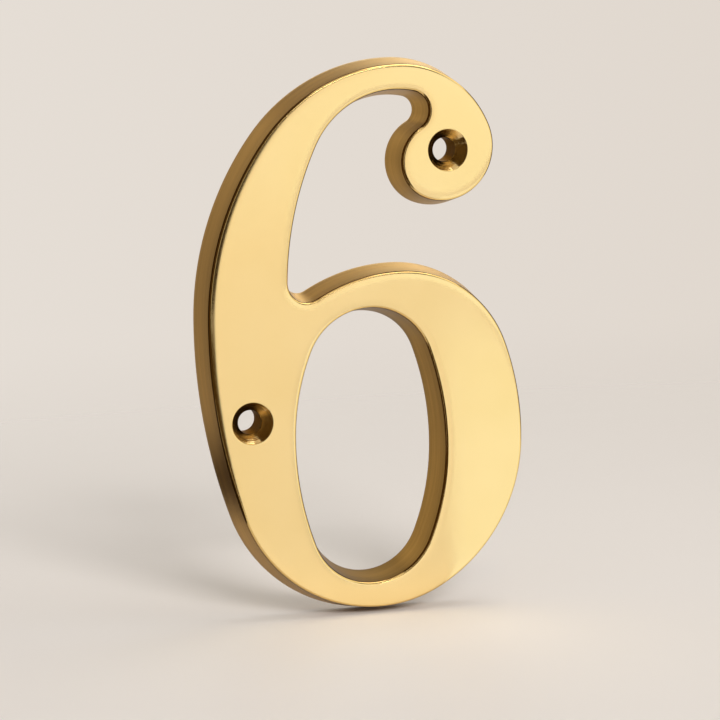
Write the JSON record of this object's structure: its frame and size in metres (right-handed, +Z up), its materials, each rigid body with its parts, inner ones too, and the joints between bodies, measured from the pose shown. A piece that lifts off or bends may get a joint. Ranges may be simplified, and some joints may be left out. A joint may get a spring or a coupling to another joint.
{
  "type": "door numeral",
  "caption": "Cast brass door numeral six with a polished flat face, drafted satin sides, a flat back and countersunk screw holes in the ball and the stem.",
  "frame": {"origin": "midway between the two screw holes, on the flat back", "axes": "+Z up the numeral, +X to its right as read, +Y out of its back into the door; the face looks along -Y"},
  "size_m": [0.063, 0.0064, 0.102],
  "materials": {
    "numeral_six": "polished face, satin sides and back"
  },
  "bodies": {
    "root": {"numeral_six": "numeral_six"}
  },
  "joints": []
}
